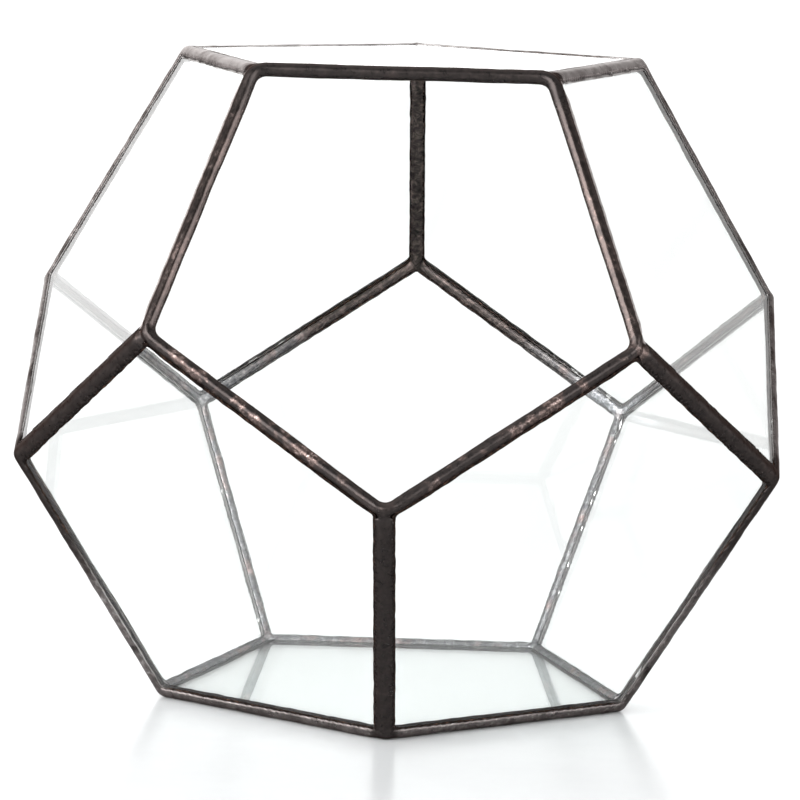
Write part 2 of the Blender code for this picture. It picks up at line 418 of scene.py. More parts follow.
def outside_shell(points, depths):
    """Distance outside the rounded body that the outside solder fills up to."""
    proud = np.full(len(NAMES), PROUD)
    proud[NAMES.index("base")] = PROUD_BELOW
    proud[NAMES.index("top")] = PROUD_ABOVE
    within = depths + proud
    within[:, MOUTH_INDEX] = NO_FACE
    shell = -smooth_least(within.T, RIDGE_BLEND)
    shell += DIP * np.clip((DIP_REACH - depths[:, MOUTH_INDEX]) / DIP_LENGTH, 0, 1) ** 2
    end = SEAM_END - depths[:, MOUTH_INDEX] + SEAM_END_UNEVEN * wave_sum(points, LUMPS)
    return rounded_both(shell, end, SEAM_END_ROUND)


def lay_outside_seams(solder):
    """Lays the outside solder of every seam as a low strip bent over the edge of the body."""
    relief = np.zeros(solder.count, np.float32)
    for count, edge in enumerate(seams_between_panes()):
        start = CORNERS[edge[2]]
        end = CORNERS[edge[3]]
        block, mask, points = solder.near(start, end, SEAM_REACH)
        depths = face_depths(points)
        distance = seam_width(edge, depths, points) - outside_width(*edge[:2])
        past = np.abs((points - (start + end) / 2) @ unit(end - start)) - EDGE / 2
        distance = np.maximum(distance, past - SEAM_OVERRUN)
        solder.lay(block, mask, distance)
        strength = np.clip(-past / RIPPLE_START, 0, 1)
        relief[block][mask] += ripples(points, start, end, 100 + count) * strength
    index, points, width = solder.laid()
    depths = face_depths(points)
    shell = outside_shell(points, depths) - surface_relief(points) - relief[index]
    distance = rounded_both(shell, width, SHOULDER)
    inner = np.delete(depths, MOUTH_INDEX, axis=1).min(axis=1)
    distance = np.maximum(distance, inner - GLASS / 2)
    distance = np.maximum(distance, RIM_ROOM - outside_mouth(depths))
    solder.replace(index, distance)


def lay_inside_seams(solder):
    """Lays the inside solder of every seam, which fills the corner between two panes."""
    for count, edge in enumerate(seams_between_panes()):
        scale = 1 - INSIDE_DEPTH / EDGE_LEVEL
        start = CORNERS[edge[2]] * scale
        end = CORNERS[edge[3]] * scale
        block, mask, points = solder.near(start, end, INSIDE_RADIUS + INSIDE_REACH)
        depths = face_depths(points)
        wide = inside_width(*edge[:2])
        radius = INSIDE_RADIUS - INSIDE_FLATTER * (INSIDE_WIDTH - wide)
        round_part = segment_distance(wander(points, EDGE_WANDER), start, end) - radius
        round_part -= ripples(points, start, end, 200 + count) + surface_relief(points)
        from_smear = np.linalg.norm(points - SMEARED_CORNER, axis=1)
        wide = wide + SMEAR * np.clip(2 - 2 * from_smear / SMEAR_REACH, 0, 1)
        width = seam_width(edge, depths, points) - wide
        distance = rounded_both(round_part, width, INSIDE_SHOULDER)
        inner = np.delete(depths, MOUTH_INDEX, axis=1).min(axis=1)
        distance = np.maximum(distance, GLASS / 2 - inner)
        distance = np.maximum(distance, RIM_ROOM_INSIDE - outside_mouth(depths))
        solder.lay(block, mask, distance)


def lay_rim(solder):
    """Lays the round rim of the mouth."""
    edges = [edge for edge in EDGES if MOUTH in edge[:2]]
    sides = [NAMES.index(edge[0] if edge[1] == MOUTH else edge[1]) for edge in edges]
    for edge, side in zip(edges, sides):
        start = CORNERS[edge[2]]
        end = CORNERS[edge[3]]
        block, mask, points = solder.near(start, end, RIM_REACH)
        own = face_depths(points)[:, sides].argmin(axis=1) == sides.index(side)
        shifted = face_depths(wander(points, EDGE_WANDER))
        level = shifted[:, MOUTH_INDEX] - ROD_DEPTH
        distance = np.hypot(outside_mouth(shifted), level)
        high = np.clip((points[:, 2] - ROD_GROWS_FROM) / ROD_GROWS_OVER, 0, 1)
        distance -= ROD_RADIUS + ROD_THICKER * high + ROD_RELIEF * surface_relief(points)
        mask[mask] = own
        solder.lay(block, mask, distance[own])


def lay_dab(solder, place, size):
    """Lays a small round dab of solder."""
    end = place + 1e-3
    block, mask, points = solder.near(place, end, size + DAB_REACH)
    solder.lay(block, mask, segment_distance(points, place, end) - size)


def lay_joint_dabs(solder, level, spread, seed):
    """Lays small extra dabs of solder where seams meet, below the corners of the body."""
    draw = np.random.RandomState(seed)
    for faces, corner in CORNERS.items():
        for _ in range(DABS):
            shift = unit(draw.normal(size=3)) * draw.uniform(*DAB_SHIFTS) * spread
            size = draw.uniform(*DAB_SIZES)
            if MOUTH not in faces:
                lay_dab(solder, corner * (1 - level / EDGE_LEVEL) + shift, size)


def net_mesh(field, low):
    """The surface of a field as vertices (in millimetres) and quads."""
    inside = field < 0
    number = np.zeros([size - 1 for size in field.shape], np.uint8)
    shifts = [np.array([x, y, z]) for x in (0, 1) for y in (0, 1) for z in (0, 1)]
    for shift in shifts:
        part = tuple(slice(s, size - 1 + s) for s, size in zip(shift, field.shape))
        number += inside[part]
    cell = np.argwhere((number > 0) & (number < 8))
    total = np.zeros((len(cell), 3))
    hits = np.zeros(len(cell))
    for axis in range(3):
        step = np.eye(3, dtype=int)[axis]
        for shift in shifts:
            if shift[axis]:
                continue
            near = cell + shift
            value = field[tuple(near.T)]
            beyond = field[tuple((near + step).T)]
            crossed = (value < 0) != (beyond < 0)
            part = value[crossed] / (value[crossed] - beyond[crossed])
            total[crossed] += shift + part[:, None] * step
            hits[crossed] += 1
    vertices = low + CELL * (cell + total / hits[:, None])
    shape = np.array(field.shape)
    keys = np.ravel_multi_index(cell.T, shape)
    quads = []
    for axis in range(3):
        step = np.eye(3, dtype=int)[axis]
        side = np.eye(3, dtype=int)[(axis + 1) % 3]
        over = np.eye(3, dtype=int)[(axis + 2) % 3]
        lower = tuple(slice(0, size - s) for s, size in zip(step, field.shape))
        upper = tuple(slice(s, size) for s, size in zip(step, field.shape))
        for sign in (True, False):
            crossing = np.argwhere((inside[lower] == sign) & (inside[upper] != sign))
            ring = [crossing, crossing - side, crossing - side - over, crossing - over]
            if not sign:
                ring.reverse()
            corner = [np.searchsorted(keys, np.ravel_multi_index(part.T, shape)) for part in ring]
            quads.append(np.stack(corner, axis=-1))
    return vertices, np.concatenate(quads)


def mesh_piece(name, vertices, quads, material):
    """A piece from vertices in millimetres from the body's centre, riding on the body."""
    mesh = bpy.data.meshes.new(name)
    mesh.vertices.add(len(vertices))
    mesh.vertices.foreach_set("co", ((vertices + CENTRE) * MM).astype(np.float32).ravel())
    mesh.loops.add(quads.size)
    mesh.loops.foreach_set("vertex_index", quads.astype(np.int32).ravel())
    mesh.polygons.add(len(quads))
    mesh.polygons.foreach_set("loop_start", np.arange(0, quads.size, 4, dtype=np.int32))
    mesh.update(calc_edges=True)
    mesh.validate()
    mesh.shade_smooth()
    mesh.materials.append(material)
    piece = bpy.data.objects.new(name, mesh)
    bpy.context.scene.collection.objects.link(piece)
    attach(piece, "root")
    return piece


def thin_out(piece):
    """Merges faces where the surface is flattest, so that the piece has few enough triangles."""
    triangles = 2 * len(piece.data.polygons)
    modifier = piece.modifiers.new("thin_out", "DECIMATE")
    modifier.ratio = min(1.0, MOST_TRIANGLES / triangles)
    depsgraph = bpy.context.evaluated_depsgraph_get()
    mesh = bpy.data.meshes.new_from_object(piece.evaluated_get(depsgraph))
    piece.modifiers.clear()
    piece.data = mesh
    mesh.shade_smooth()


def outside_solder(material):
    """The outside solder and the rim as one fused piece."""
    solder = Solder()
    lay_outside_seams(solder)
    lay_rim(solder)
    lay_joint_dabs(solder, level=1.8, spread=1.1, seed=21)
    vertices, quads = net_mesh(solder.close(), solder.low)
    piece = mesh_piece("solder_outside", vertices, quads, material)
    thin_out(piece)
    return piece


def inside_solder(material):
    """The inside solder as one fused piece."""
    solder = Solder()
    lay_inside_seams(solder)
    lay_joint_dabs(solder, level=3.3, spread=0.8, seed=22)
    vertices, quads = net_mesh(solder.close(), solder.low)
    return mesh_piece("solder_inside", vertices, quads, material)


# Foil

FOIL_SHOWS = 0.12  # how far the foil shows beside the outside solder
FOIL_SHOWS_INSIDE = 0.1  # and beside the inside solder
FOIL_OUT = 0.15  # from the glass to the outer surface of the foil
FOIL_IN = 0.05  # from the glass to the inner surface of the foil
FOIL_RIM = 3.3  # inset of the outside strip beside the rim, on the two upper side panes
FOIL_RIM_OUT = 0.42  # thickness of its tinning there
FOIL_RIM_LOW = 2.95  # the same beside the lower and the top part of the rim
FOIL_RIM_LOW_OUT = 0.3
FOIL_UNDER = 0.1  # how far the strips reach in under the solder from the foil line
FOIL_FOLD = 2.15  # inset of the strip's middle part, which goes round the pane's cut edge
FOIL_RAGGED = 0.09  # unevenness of the strip's edge
FOIL_NICKS = 0.05  # small nicks in it, and bumps in the tinning
FOIL_BEVEL = 0.06  # bevel of the outside strip, and how much wider it is beside the rim
FOIL_RIM_BEVEL = 0.1
STATIONS = 96  # along one side of a pane


def ragged(points):
    """Unevenness of the foil's edge in millimetres."""
    return FOIL_RAGGED * wave_sum(points, RAGGED) + FOIL_NICKS * wave_sum(points, NICKS)


def foil_piece(name, material):
    """Foil folded round the cut edge of one pane, with edges that were cut and pressed by hand."""
    normal, corner = FACES[name]
    across = np.cross(corner, normal)
    part = (np.arange(STATIONS) + 0.5) / STATIONS
    lean = np.degrees(np.arctan((part - 0.5) * 2 * math.tan(math.radians(36))))
    angles = np.radians(np.concatenate([90 + 72 * side + 36 + lean for side in range(5)]))
    spread = np.tile(1 / np.cos(np.radians(lean)), 5)
    rays = np.outer(np.cos(angles), across) + np.outer(np.sin(angles), corner)
    face_centre = normal * FACE_LEVEL
    rim = np.zeros(len(angles))
    outside = np.zeros(len(angles))
    inside = np.zeros(len(angles))
    for side in range(5):
        middle = math.radians(90 + 72 * side + 36)
        out = math.cos(middle) * across + math.sin(middle) * corner
        beyond = NAMES[int((NORMALS @ out).argmax())]
        stations = slice(side * STATIONS, (side + 1) * STATIONS)
        outside[stations] = outside_width(name, beyond) + FOIL_SHOWS
        inside[stations] = inside_width(name, beyond) + FOIL_SHOWS_INSIDE
        if beyond == MOUTH:
            from_corner = EDGE * np.minimum(part, 1 - part)
            rim[stations] = np.clip((from_corner - 1) / 3, 0, 1)
            inside[stations] = INSIDE_WIDTH + FOIL_SHOWS_INSIDE
    turned = (np.arange(len(angles))[:, None] + np.arange(-2, 3)) % len(angles)
    outside = outside[turned].mean(axis=1)
    inside = inside[turned].mean(axis=1)
    upper_side = name in UPPER_SIDES
    outside += ((FOIL_RIM if upper_side else FOIL_RIM_LOW) - outside) * rim
    thick = FOIL_OUT + ((FOIL_RIM_OUT if upper_side else FOIL_RIM_LOW_OUT) - FOIL_OUT) * rim
    edge_line = face_centre + rays * (spread * (APOTHEM - 3))[:, None]
    thick += FOIL_NICKS * rim * wave_sum(edge_line, LUMPS)
    outside += ragged(edge_line)
    inside += ragged(edge_line - normal * GLASS)
    bevel = FOIL_BEVEL + FOIL_RIM_BEVEL * rim
    outline = [
        (FOIL_LINE + FOIL_UNDER, -thick),
        (outside - bevel, -thick),
        (outside - 0.3 * bevel, -0.85 * thick),
        (outside, -0.5 * thick),
        (outside, -FOIL_IN),
        (FOIL_FOLD, -FOIL_IN),
        (FOIL_FOLD, GLASS + FOIL_IN),
        (inside, GLASS + FOIL_IN),
        (inside, GLASS + FOIL_OUT * 0.6),
        (inside - FOIL_BEVEL, GLASS + FOIL_OUT),
        (FOIL_LINE + FOIL_UNDER, GLASS + FOIL_OUT),
    ]
    rings = []
    for inset, depth in outline:
        radius = (APOTHEM - inset) * spread
        level = np.ones(len(angles)) * depth
        rings.append(face_centre - np.outer(level, normal) + rays * radius[:, None])
    vertices = np.concatenate(rings)
    count = len(angles)
    here = np.arange(count)
    after = (here + 1) % count
    quads = []
    for ring in range(len(outline)):
        following = (ring + 1) % len(outline)
        corners = (
            ring * count + here,
            ring * count + after,
            following * count + after,
            following * count + here,
        )
        quads.append(np.stack(corners, axis=-1))
    quads = np.concatenate(quads)
    piece = mesh_piece("foil_strip_" + name, vertices, quads, material)
    piece.data.set_sharp_from_angle(angle=math.radians(40))
    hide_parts("foil_" + name)
    return piece


# Materials

# Heights and places of the wear, and of the patina above the painted sheen, in metres, as (none,
# full)
TOP_WEAR = (0.1452, 0.1463)
TOP_FOIL_WEAR = (0.1456, 0.1466)
BASE_WEAR = (0.0035, 0.0022)
SIDE_WEAR = (0.051, 0.057)  # out to the sides
SIDE_WEAR_BACK = (-0.0265, -0.0235)  # from the front to the back
# where the dark patina gives way to the painted sheen, by height and from the front
PATINA_SHEEN_HEIGHTS = (0.072, 0.098)
PATINA_SHEEN_FRONT = (-0.016, -0.021)
SIDE_RIM_ABOVE = (0.090, 0.100)
SIDE_RIM_BELOW = (0.144, 0.138)
LOW_RIM_BELOW = (0.098, 0.088)
SMEAR_ABOVE = (0.0565, 0.0595)
BACK = (0.018, 0.022)  # where the back part starts, and the right one
RIGHT = (0.01, 0.02)
NEAR_BASE = (0.007, 0.005)
SLOTS = (0.65, 0.63)  # the same for the noise that leaves gaps in the foil on a cut edge
EDGE_FACING = 0.65  # a face that looks less outward than this is a pane's cut edge

# Depths below the mouth's plane in millimetres
RIM_DEPTH = 2.9
RIM_FOIL_DEPTH = 2.75
FOIL_WEAR_DEPTH = 3.2


class Nodes:
    """A tree of shader nodes, made by short calls."""

    def __init__(self, tree, output, place):
        self.nodes = tree.nodes
        self.links = tree.links
        self.output = self.nodes[output]
        self.place = self.add("TexCoord").outputs[place]

    def feed(self, socket, value):
        """Links an output to a socket, or gives the socket a number or a colour."""
        if isinstance(value, bpy.types.NodeSocket):
            self.links.new(value, socket)
        elif socket.type == "RGBA":
            socket.default_value = (*value, 1)
        else:
            socket.default_value = value

    def add(self, kind, inputs=(), **settings):
        """A new node with its settings, and what its inputs get, by name or number."""
        node = self.nodes.new("ShaderNode" + kind)
        for name, value in settings.items():
            setattr(node, name, value)
        for name, value in dict(inputs).items():
            self.feed(node.inputs[name], value)
        return node

    def noise(self, scale, detail=3.0, roughness=0.55, distortion=0.0, place=None):
        """Noise from 0 to 1, with its scale in bumps for each metre."""
        inputs = {"Scale": scale, "Detail": detail, "Roughness": roughness}
        inputs.update({"Distortion": distortion, "Vector": place or self.place})
        return self.add("TexNoise", inputs).outputs["Fac"]

    def ramp(self, source, *stops):
        """Colours by the values of a source."""
        node = self.add("ValToRGB", {"Fac": source})
        points = node.color_ramp.elements
        while len(points) < len(stops):
            points.new(0.5)
        for point, (position, colour) in zip(points, stops):
            point.position = position
            point.color = (*colour, 1)
        return node.outputs["Color"]

    def fit(self, source, low, high, to_low, to_high, kind="LINEAR"):
        """Maps a source from one range to another one, and keeps it in that."""
        inputs = {"Value": source, "From Min": low, "From Max": high}
        inputs.update({"To Min": to_low, "To Max": to_high})
        return self.add("MapRange", inputs, interpolation_type=kind).outputs["Result"]

    def mask(self, source, limits, most=1.0):
        """0 at the first limit, rising to most at the second one."""
        return self.fit(source, *limits, 0.0, most)

    def math(self, operation, *values):
        """The result of an operation on numbers."""
        return self.add("Math", enumerate(values), operation=operation).outputs["Value"]

    def product(self, first, *others):
        """Several numbers multiplied."""
        for other in others:
            first = self.math("MULTIPLY", first, other)
        return first

    def most(self, first, *others):
        """The greatest of several numbers."""
        for other in others:
            first = self.math("MAXIMUM", first, other)
        return first

    def other_than(self, mask):
        """1 where a mask is 0, and 0 where it is 1."""
        return self.math("SUBTRACT", 1.0, mask)

    def mix(self, factor, first, second):
        """A colour between two others."""
        return self.add("Mix", {0: factor, 6: first, 7: second}, data_type="RGBA").outputs[2]

    def vector(self, operation, *values):
        """The vector that an operation gives, or its number."""
        outputs = self.add("VectorMath", enumerate(values), operation=operation).outputs
        return outputs["Value" if operation in ("DOT_PRODUCT", "DISTANCE", "LENGTH") else "Vector"]

    def axis(self, name):
        """One coordinate of the place."""
        return self.add("SeparateXYZ", {"Vector": self.place}).outputs[name]

    def surface(self, factor, first, second):
        """Sends a mix of two shaders to the output."""
        choice = self.add("MixShader", enumerate((factor, first, second)))
        self.feed(self.output.inputs["Surface"], choice.outputs["Shader"])


class Look(Nodes):
    """A material, whose places are in metres in the frame."""

    def __init__(self, name):
        self.material = bpy.data.materials.new(name)
        self.material.use_nodes = True
        super().__init__(self.material.node_tree, "Material Output", "Object")
        self.shader = self.nodes["Principled BSDF"]

    def put(self, **values):
        """Feeds sockets of the Principled shader by name, with _ for a space."""
        for name, value in values.items():
            self.feed(self.shader.inputs[name.replace("_", " ")], value)

    def bump(self, *heights):
        """Chains bumps given as (source, distance in millimetres, strength)."""
        chain = {}
        for source, distance, strength in heights:
            inputs = {"Height": source, "Distance": distance * MM, "Strength": strength, **chain}
            chain = {"Normal": self.add("Bump", inputs).outputs["Normal"]}
        self.put(**chain)

    def patina_vs_painted_sheen(self):
        """1 at the upper part and the front, where the inside solder, the foil and the panes' cut
        edges get their dark patina colour; 0 lower down and towards the back, where a lighter grey
        is painted instead, a painted reflection of the bright overhead light.
        """
        uneven = self.product(self.noise(60, 2, 0.5), 0.04)
        height = self.math("ADD", self.axis("Z"), uneven)
        upper = self.mask(height, PATINA_SHEEN_HEIGHTS)
        return self.most(upper, self.mask(self.axis("Y"), PATINA_SHEEN_FRONT))

    def handled(self):
        """1 on the seams at the sides, where the patina is rubbed off, and less on the right."""
        sideways = self.mask(self.math("ABSOLUTE", self.axis("X")), SIDE_WEAR)
        behind = self.mask(self.axis("Y"), SIDE_WEAR_BACK)
        return self.product(sideways, behind, self.fit(self.axis("X"), -0.01, 0.01, 1.0, 0.6))

    def on_top(self, heights):
        """1 above the second of two heights, but little on the seam at the back on the right."""
        back = self.mask(self.axis("Y"), BACK)
        back_right = self.product(back, self.mask(self.axis("X"), RIGHT, 0.8))
        return self.product(self.mask(self.axis("Z"), heights), self.other_than(back_right))

    def near_mouth(self, depth):
        """1 down to a depth in millimetres below the mouth's plane, and 0 below that."""
        along = self.vector("DOT_PRODUCT", self.place, tuple(MOUTH_NORMAL))
        plane = (FACE_LEVEL + CENTRE @ MOUTH_NORMAL) * MM
        return self.mask(along, (plane - (depth + 0.15) * MM, plane - depth * MM))


def patina_look():
    """Solder with a dark patina, waxed: black-brown, with copper-pink bloom on the rim."""
    look = Look("dark_patina_solder")
    bloom = look.noise(150, 3, 0.6, 0.4)
    mottle = look.noise(750, 4, 0.65, 0.6)
    grain = look.noise(2600, 3, 0.6)
    ground = look.ramp(
        mottle,
        (0.30, (0.026, 0.023, 0.0225)),
        (0.50, (0.034, 0.029, 0.028)),
        (0.68, (0.043, 0.036, 0.034)),
        (0.84, (0.085, 0.064, 0.060)),
    )
    copper = look.ramp(
        mottle,
        (0.35, (0.044, 0.036, 0.034)),
        (0.60, (0.072, 0.056, 0.052)),
        (0.78, (0.160, 0.116, 0.106)),
    )
    patches = look.ramp(
        look.noise(1100, 4, 0.7, 0.8),
        (0.40, (0.050, 0.038, 0.035)),
        (0.56, (0.130, 0.095, 0.086)),
        (0.68, (0.420, 0.330, 0.310)),
    )
    worn = look.ramp(
        mottle,
        (0.35, (0.110, 0.096, 0.094)),
        (0.58, (0.160, 0.142, 0.138)),
        (0.76, (0.420, 0.400, 0.390)),
    )
    on_rim = look.near_mouth(RIM_DEPTH)
    off_rim = look.other_than(on_rim)
    height = look.axis("Z")
    off_middle = look.math("ABSOLUTE", look.axis("X"))

    # Copper bloom on the side rims and here and there, copper patches on the low rims
    side_rim = look.product(look.mask(height, SIDE_RIM_ABOVE), look.mask(height, SIDE_RIM_BELOW))
    side_rim = look.product(side_rim, on_rim)
    blooming = look.product(look.fit(bloom, 0.36, 0.56, 0.35, 1.0), side_rim)
    rubbed = look.fit(bloom, 0.58, 0.7, 0.0, 0.4)
    stained = look.mix(look.most(blooming, rubbed), ground, copper)
    low_rim = look.product(on_rim, look.mask(height, LOW_RIM_BELOW))
    patchy = look.product(look.fit(look.noise(210, 2, 0.5, 0.5), 0.50, 0.58, 0.0, 0.9), low_rim)
    patchy = look.product(patchy, look.fit(off_middle, 0.007, 0.014, 0.1, 1.0))
    stained = look.mix(patchy, stained, patches)

    # Patina rubbed off on top, at the sides and round the base
    on_top = look.product(look.on_top(TOP_WEAR), look.fit(bloom, 0.38, 0.56, 0.6, 1.0), off_rim)
    uneven = look.fit(look.noise(260, 2, 0.5), 0.35, 0.55, 0.5, 1.0)
    at_base = look.product(look.mask(height, BASE_WEAR), uneven)
    at_base = look.product(at_base, look.fit(off_middle, 0.0025, 0.004, 0.1, 1.0))
    uneven = look.fit(look.noise(95, 3, 0.6), 0.38, 0.50, 0.1, 0.95)
    handled = look.product(look.handled(), off_rim, uneven)
    clean = look.most(on_top, handled)

    dull = look.fit(mottle, 0.3, 0.75, 0.24, 0.42)
    look.put(
        Base_Color=look.mix(look.most(clean, at_base), stained, worn),
        Metallic=0.95,
        Specular_Tint=look.mix(clean, (0.42, 0.385, 0.375), (0.85, 0.82, 0.81)),
        Roughness=look.math("SUBTRACT", dull, look.product(side_rim, 0.12)),
    )
    look.bump((mottle, 0.05, 0.35), (grain, 0.02, 0.35))
    return look.material


def bright_look():
    """Inside solder: dark with patina above and at the front; silver grey with pinkish stains
    below, where the grey is a painted reflection of the bright overhead light.
    """
    look = Look("grey_solder")
    bloom = look.noise(140, 3, 0.6, 0.3)
    mottle = look.noise(620, 4, 0.65, 0.8)
    grain = look.noise(2400, 3, 0.6)
    ground = look.ramp(
        mottle,
        (0.30, (0.09, 0.09, 0.095)),
        (0.52, (0.16, 0.16, 0.165)),
        (0.74, (0.34, 0.34, 0.34)),
    )
    stain = look.ramp(
        mottle,
        (0.30, (0.13, 0.09, 0.085)),
        (0.70, (0.38, 0.29, 0.27)),
    )
    dark = look.ramp(
        mottle,
        (0.32, (0.020, 0.018, 0.018)),
        (0.52, (0.055, 0.046, 0.043)),
        (0.72, (0.150, 0.115, 0.105)),
    )
    silver = look.ramp(
        look.noise(760, 4, 0.7, 2.5),
        (0.38, (0.10, 0.105, 0.115)),
        (0.52, (0.30, 0.31, 0.33)),
        (0.64, (0.80, 0.81, 0.83)),
    )
    corner = tuple((SMEARED_CORNER + CENTRE) * MM)
    from_corner = look.vector("DISTANCE", look.place, corner)
    smeared = look.mask(from_corner, (SMEAR_REACH * MM, 0.6 * SMEAR_REACH * MM), 0.9)
    smeared = look.product(smeared, look.mask(look.axis("Z"), SMEAR_ABOVE))
    stained = look.fit(bloom, 0.5, 0.68, 0.0, 0.8)
    # Dark patina colour above and at the front; the lighter grey colour and plainer tint lower
    # down and towards the back are a painted reflection of the overhead light.
    patina_vs_sheen = look.patina_vs_painted_sheen()
    colour = look.mix(smeared, look.mix(stained, ground, stain), silver)
    look.put(
        Base_Color=look.mix(patina_vs_sheen, colour, dark),
        Metallic=1.0,
        Specular_Tint=look.mix(patina_vs_sheen, (0.5, 0.5, 0.5), (0.25, 0.2, 0.19)),
        Roughness=look.fit(mottle, 0.3, 0.75, 0.28, 0.48),
    )
    look.bump((mottle, 0.07, 0.4), (grain, 0.02, 0.4))
    return look.material


def foil_look(bright_rim):
    """Copper foil, tinned and patinated nearly black, but painted a lighter grey lower down and
    towards the back, as a painted reflection of the overhead light. It can be left bright along
    the rim.
    """
    look = Look("tinned_foil" if bright_rim else "patinated_foil")
    mottle = look.noise(900, 4, 0.6, 0.5)
    wrinkle = look.noise(1500, 2, 0.5)
    colour = look.ramp(
        mottle,
        (0.35, (0.012, 0.010, 0.010)),
        (0.55, (0.035, 0.024, 0.020)),
        (0.75, (0.150, 0.085, 0.062)),
    )
    grey = look.ramp(
        mottle,
        (0.35, (0.08, 0.08, 0.082)),
        (0.65, (0.22, 0.215, 0.21)),
    )
    # The lighter grey lower down and towards the back is a painted reflection of the overhead
    # light; above and at the front the foil keeps its dark patina.
    colour = look.mix(look.patina_vs_painted_sheen(), grey, colour)
    uneven = look.fit(look.noise(150, 3, 0.6, 0.4), 0.38, 0.56, 0.3, 1.0)
    top_edge = look.product(look.on_top(TOP_FOIL_WEAR), uneven)
    off_rim = look.other_than(look.near_mouth(FOIL_WEAR_DEPTH))
    worn = look.product(look.most(top_edge, look.handled()), off_rim)
    colour = look.mix(worn, colour, (0.36, 0.345, 0.34))
    tint = look.mix(worn, (0.36, 0.34, 0.33), (0.85, 0.82, 0.81))
    if bright_rim:
        tin = look.ramp(
            mottle,
            (0.35, (0.10, 0.085, 0.08)),
            (0.60, (0.38, 0.34, 0.33)),
        )
        by_mouth = look.near_mouth(RIM_FOIL_DEPTH)
        colour = look.mix(by_mouth, colour, tin)
        tint = look.mix(by_mouth, tint, (1.0, 0.96, 0.95))
    dull = look.fit(mottle, 0.3, 0.7, 0.28, 0.46)
    look.put(Base_Color=colour, Metallic=0.95, Specular_Tint=tint, Roughness=dull)
    look.bump((wrinkle, 0.06, 0.5))
    return look.material


def wire_look():
    """Tinned wire."""
    look = Look("tinned_copper_wire")
    mottle = look.noise(1200, 3, 0.6)
    colour = look.ramp(mottle, (0.35, (0.40, 0.36, 0.34)), (0.7, (0.62, 0.60, 0.58)))
    look.put(Base_Color=colour, Metallic=1.0, Roughness=look.fit(mottle, 0.3, 0.7, 0.25, 0.42))
    look.bump((mottle, 0.03, 0.4))
    return look.material


def glass_look():
    """Clear float glass with a faint green cast, faint smears and a very slight waviness."""
    look = Look("clear_float_glass")
    cloud = look.noise(28, 3, 0.6, 0.6)
    streak = look.noise(160, 4, 0.65, 1.5)
    smear = look.product(look.mask(cloud, (0.5, 0.75)), look.mask(streak, (0.5, 0.75)))
    colour = look.ramp(cloud, (0.3, (0.970, 0.983, 0.978)), (0.7, (0.978, 0.988, 0.984)))

    # The pane's cut edge, which faces sideways, is covered by the foil, apart from a few gaps
    geometry = look.add("NewGeometry").outputs
    look.place = geometry["Position"]
    outward = look.vector("NORMALIZE", look.vector("SUBTRACT", look.place, tuple(CENTRE * MM)))
    facing = look.math("ABSOLUTE", look.vector("DOT_PRODUCT", outward, geometry["True Normal"]))
    cut_edge = look.math("LESS_THAN", facing, EDGE_FACING)
    patina_vs_sheen = look.patina_vs_painted_sheen()
    upright = look.vector("MULTIPLY", look.place, (1, 1, 0.35))
    closed = look.mask(look.noise(420, 1, 0.5, place=upright), SLOTS)
    closed = look.most(closed, patina_vs_sheen, look.mask(look.axis("Z"), NEAR_BASE))
    covered = look.product(cut_edge, closed)
    # The foil on the cut edge is dark with patina above and at the front, and a lighter grey lower
    # down and towards the back, a painted reflection of the overhead light.
    foil = look.mix(patina_vs_sheen, (0.12, 0.116, 0.114), (0.02, 0.016, 0.015))

    look.put(
        Base_Color=look.mix(covered, colour, foil),
        IOR=1.5,
        Transmission_Weight=look.other_than(covered),
        Metallic=covered,
        Specular_Tint=look.mix(covered, (1, 1, 1), (0.36, 0.35, 0.34)),
        Roughness=look.most(look.product(smear, 0.05), look.product(covered, 0.5)),
    )
    look.bump((look.noise(22, 1, 0.4), 0.12, 0.25))
    clear = look.add("BsdfTransparent", {"Color": (0.93, 0.95, 0.945)})
    in_shadow = look.add("LightPath").outputs["Is Shadow Ray"]
    look.surface(in_shadow, look.shader.outputs["BSDF"], clear.outputs["BSDF"])
    return look.material


def floor_look(glow):
    """A plain white glossy table top that runs out into the white studio."""
    look = Look("white_table")
    faint = look.noise(9, 2, 0.5)
    colour = look.ramp(faint, (0.3, (0.425, 0.43, 0.435)), (0.7, (0.44, 0.445, 0.45)))
    dull = look.fit(look.noise(60, 3, 0.6), 0.3, 0.7, 0.2, 0.26)
    look.put(Base_Color=colour, IOR=1.4, Roughness=dull)
    light = look.add("Emission", {"Color": WHITE, "Strength": glow})
    far = look.fit(look.vector("LENGTH", look.place), FLOOR_NEAR, FLOOR_FAR, 0, 1, "SMOOTHSTEP")
    look.surface(far, look.shader.outputs["BSDF"], light.outputs["Emission"])
    return look.material


# Studio

WHITE = (1, 1, 1)
STUDIO_WHITE = 1.13  # brightness of the studio where it is seen
FLOOR_RADIUS = 3.0
FLOOR_NEAR = 0.22  # where the table top starts to run out into the white, from the middle
FLOOR_FAR = 0.8


def build_floor():
    """The table top."""
    bm = bmesh.new()
    bmesh.ops.create_circle(bm, cap_ends=True, segments=128, radius=FLOOR_RADIUS)
    mesh = bpy.data.meshes.new("floor")
    bm.to_mesh(mesh)
    bm.free()
    mesh.materials.append(floor_look(STUDIO_WHITE))
    floor = bpy.data.objects.new("floor", mesh)
    bpy.context.scene.collection.objects.link(floor)


